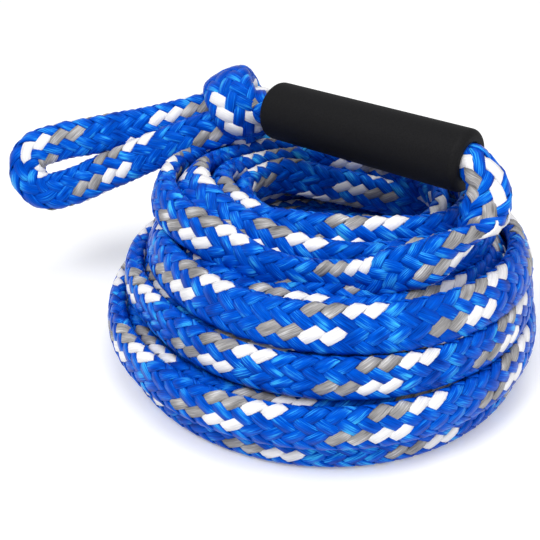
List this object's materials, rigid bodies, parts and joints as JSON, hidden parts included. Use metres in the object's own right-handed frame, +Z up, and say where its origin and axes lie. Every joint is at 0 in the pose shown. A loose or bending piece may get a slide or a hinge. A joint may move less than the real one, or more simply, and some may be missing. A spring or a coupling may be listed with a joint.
{
  "type": "tow rope",
  "caption": "Floating tow rope wound into a storage coil, with a foam grip sleeve, a stopper knot and an eye at each end.",
  "frame": {"origin": "centre of the overall box in plan, on the surface that the coil lies on", "axes": "+Z up, +X from the towing eye towards the coil, -Y towards the side that the sleeve's lead end points to"},
  "size_m": [0.3596, 0.2853, 0.1677],
  "materials": {
    "rope": "glossy filament braid, blue with white and grey tracers",
    "foam": "matte closed-cell foam"
  },
  "bodies": {
    "rope": {"coil_tier_1": "rope", "coil_tier_2": "rope", "coil_tier_3": "rope", "coil_tier_4": "rope", "coil_tier_5": "rope", "rope_lead": "rope", "rope_core": "rope", "stopper_knot": "rope", "tow_eye": "rope", "boat_eye": "rope", "boat_splice": "rope"},
    "sleeve": {"float_sleeve": "foam"}
  },
  "joints": [
    {"name": "sleeve_spin", "type": "hinge", "parent": "rope", "child": "sleeve", "pos_m": [0.06277, 0.011, 0.1445], "axis": [0.7579, -0.6496, 0.061], "continuous": true}
  ]
}
